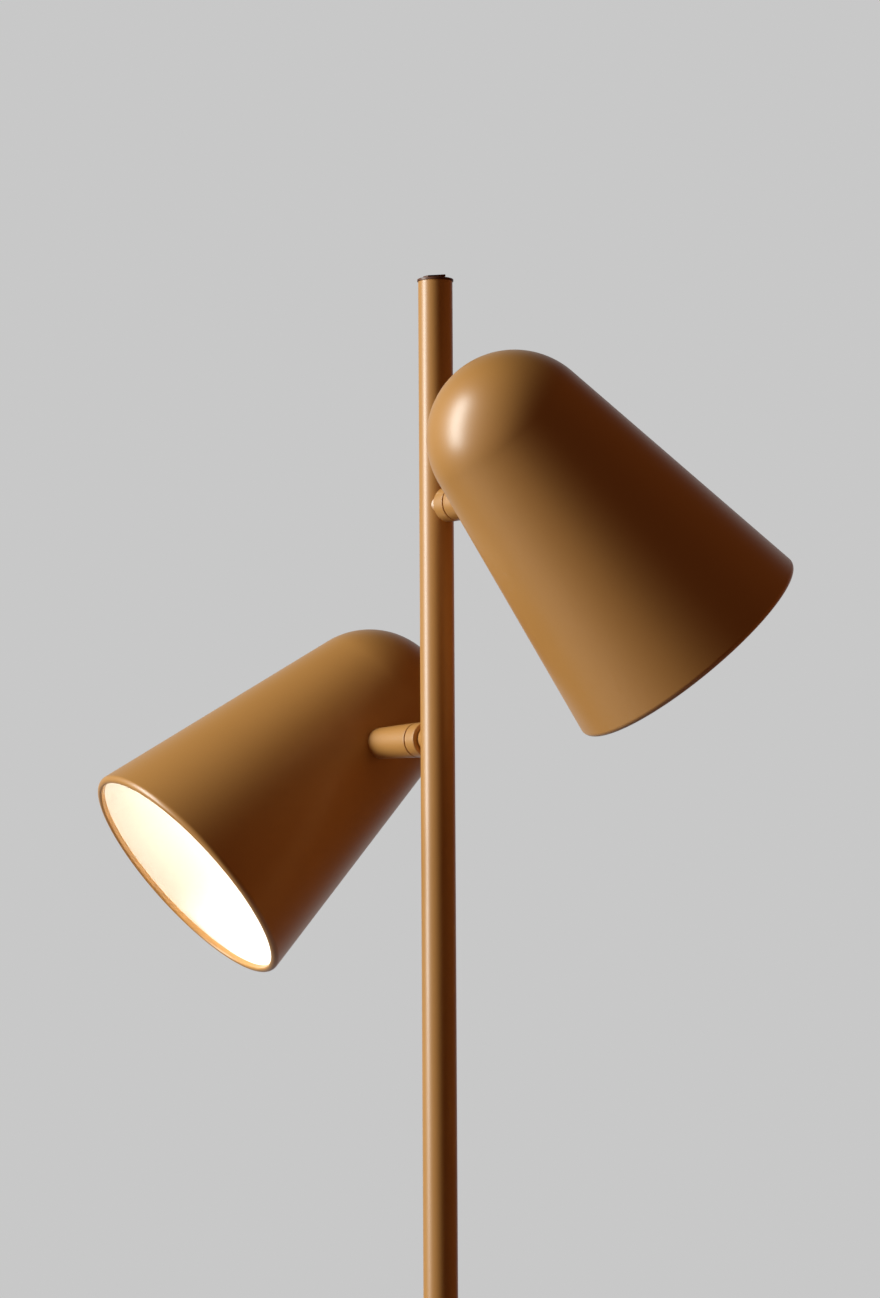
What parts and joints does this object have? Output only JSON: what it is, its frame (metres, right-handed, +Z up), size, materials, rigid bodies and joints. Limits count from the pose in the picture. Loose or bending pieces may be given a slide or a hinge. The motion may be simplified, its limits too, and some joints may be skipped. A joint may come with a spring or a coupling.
{
  "type": "pole floor lamp",
  "caption": "Free-standing pole floor lamp with conical metal spot heads on short swivel arms, a rocker switch in the pole's free top end and a weighted round base.",
  "frame": {"origin": "centre of the base pad's underside, on the pole's axis", "axes": "+Z up along the pole, +X along the upper head's arm, +Y the side where the mains lead leaves the base"},
  "size_m": [0.373, 0.2531, 1.5021],
  "materials": {
    "mustard_lacquer": "satin lacquer",
    "white_lacquer": "white gloss lacquer on spun aluminium",
    "dark_plastic": "fine matt",
    "phenolic": "smooth matt",
    "black_foam": "matt foam",
    "black_rubber": "matt",
    "cast_iron": "raw casting",
    "zinc_steel": "zinc plated",
    "brass": "turned",
    "cap_aluminium": "threaded cap",
    "bulb_plastic": "smooth",
    "opal_glass": "opal",
    "lead_sheath": "PVC sheath"
  },
  "bodies": {
    "stand": {"base_pad": "black_foam", "base_weight": "cast_iron", "base_cover": "mustard_lacquer", "cord_gland": "black_rubber", "base_stud": "zinc_steel", "base_washer": "zinc_steel", "base_nut": "zinc_steel", "foot_insert": "zinc_steel", "lower_pole": "mustard_lacquer", "pole_connector": "zinc_steel", "pole_thread_insert": "zinc_steel", "upper_pole": "mustard_lacquer", "main_lead": "lead_sheath", "connector_block": "phenolic", "pole_leads": "lead_sheath", "switch_housing": "dark_plastic", "switch_terminals": "brass", "stop_pins": "zinc_steel", "friction_washers": "dark_plastic", "spring_washers": "zinc_steel", "pivot_nuts": "brass", "upper_arm_block": "brass", "upper_saddle_washer": "mustard_lacquer", "upper_knuckle_hub": "mustard_lacquer", "upper_hollow_pivot": "brass", "lower_arm_block": "brass", "lower_saddle_washer": "mustard_lacquer", "lower_knuckle_hub": "mustard_lacquer", "lower_hollow_pivot": "brass"},
    "rocker": {"switch_rocker": "dark_plastic"},
    "upper_head": {"upper_swivel_ring": "mustard_lacquer", "upper_swivel_arm": "mustard_lacquer", "upper_arm_stud": "brass", "upper_shade": "mustard_lacquer", "upper_reflector": "white_lacquer", "upper_seat_washer": "zinc_steel", "upper_arm_nut": "zinc_steel", "upper_holder_bracket": "zinc_steel", "upper_lampholder": "phenolic", "upper_holder_nut": "zinc_steel", "upper_bulb_cap": "cap_aluminium", "upper_bulb_collar": "bulb_plastic", "upper_bulb_globe": "opal_glass", "upper_head_lead": "lead_sheath"},
    "lower_head": {"lower_swivel_ring": "mustard_lacquer", "lower_swivel_arm": "mustard_lacquer", "lower_arm_stud": "brass", "lower_shade": "mustard_lacquer", "lower_reflector": "white_lacquer", "lower_seat_washer": "zinc_steel", "lower_arm_nut": "zinc_steel", "lower_holder_bracket": "zinc_steel", "lower_lampholder": "phenolic", "lower_holder_nut": "zinc_steel", "lower_bulb_cap": "cap_aluminium", "lower_bulb_collar": "bulb_plastic", "lower_bulb_globe": "opal_glass", "lower_head_lead": "lead_sheath"}
  },
  "joints": [
    {"name": "upper_head_tilt", "type": "hinge", "parent": "stand", "child": "upper_head", "pos_m": [0.018, 0, 1.3798], "axis": [1, 0, 0], "range_deg": [-176.7, 93.3]},
    {"name": "lower_head_tilt", "type": "hinge", "parent": "stand", "child": "lower_head", "pos_m": [-0.018, 0, 1.2584], "axis": [-1, 0, 0], "range_deg": [-183.8, 86.2]},
    {"name": "rocker_switch", "type": "hinge", "parent": "stand", "child": "rocker", "pos_m": [0, 0, 1.4965], "axis": [1, 0, 0], "range_deg": [-16, 0]}
  ]
}
